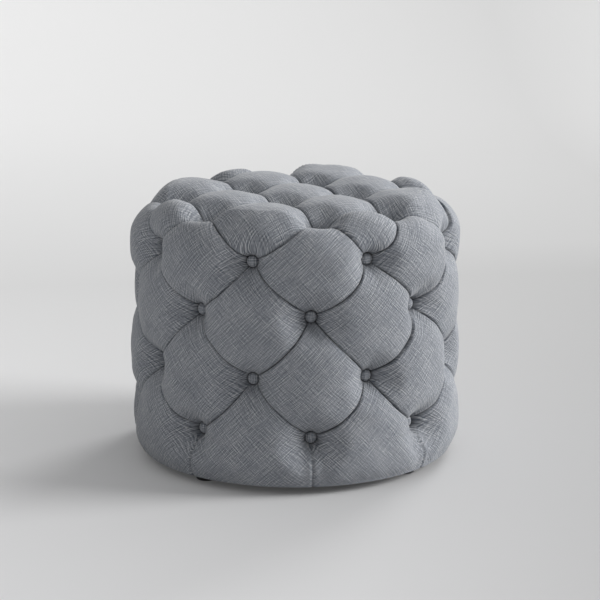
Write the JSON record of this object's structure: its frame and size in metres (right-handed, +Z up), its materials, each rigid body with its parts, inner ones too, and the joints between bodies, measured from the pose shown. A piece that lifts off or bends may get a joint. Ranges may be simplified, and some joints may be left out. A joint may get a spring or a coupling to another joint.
{
  "type": "round tufted ottoman coffee table",
  "caption": "Low round drum-shaped ottoman in woven fabric, deep-buttoned in diamonds over the side and the top, standing on small black glides.",
  "frame": {"origin": "on the floor, under the middle of the ottoman", "axes": "+Z up along the axis of the round body; -Y is the front, +X the right side seen from the front"},
  "size_m": [0.559, 0.559, 0.457],
  "materials": {
    "woven_fabric": "plain woven linen-look upholstery fabric, heathered blue-grey, with slubs",
    "button_fabric": "the same woven fabric pulled over a button mould",
    "waxed_twine": "waxed linen buttoning twine",
    "vulcan_fibre": "pressed fibre washer",
    "foam": "open-cell upholstery foam",
    "plywood": "raw birch-faced plywood",
    "pine": "planed softwood",
    "hardboard": "bent brown hardboard",
    "black_cambric": "thin black non-woven cloth",
    "black_plastic": "moulded black plastic with a fine satin texture",
    "zinc_steel": "bright zinc-plated steel"
  },
  "bodies": {
    "root": {"base_board": "plywood", "base_screws": "zinc_steel", "buttons_side_bottom_row": "button_fabric", "buttons_side_lower_row": "button_fabric", "buttons_side_top_row": "button_fabric", "buttons_side_upper_row": "button_fabric", "buttons_top_inner_ring": "button_fabric", "buttons_top_outer_ring": "button_fabric", "deck": "plywood", "deck_screws": "zinc_steel", "dust_cover": "black_cambric", "dust_cover_staples": "zinc_steel", "foot_1": "black_plastic", "foot_2": "black_plastic", "foot_3": "black_plastic", "foot_4": "black_plastic", "foot_screws": "zinc_steel", "hem_staples": "zinc_steel", "hoop": "plywood", "hoop_screws": "zinc_steel", "post_1": "pine", "post_2": "pine", "post_3": "pine", "post_4": "pine", "post_5": "pine", "post_6": "pine", "post_7": "pine", "post_8": "pine", "side_foam": "foam", "ties_side_bottom_row": "waxed_twine", "ties_side_lower_row": "waxed_twine", "ties_side_top_row": "waxed_twine", "ties_side_upper_row": "waxed_twine", "ties_top_inner_ring": "waxed_twine", "ties_top_outer_ring": "waxed_twine", "top_foam": "foam", "tufted_cover": "woven_fabric", "wall_board": "hardboard", "washers_side_bottom_row": "vulcan_fibre", "washers_side_lower_row": "vulcan_fibre", "washers_side_upper_row": "vulcan_fibre", "washers_top_inner_ring": "vulcan_fibre"}
  },
  "joints": []
}
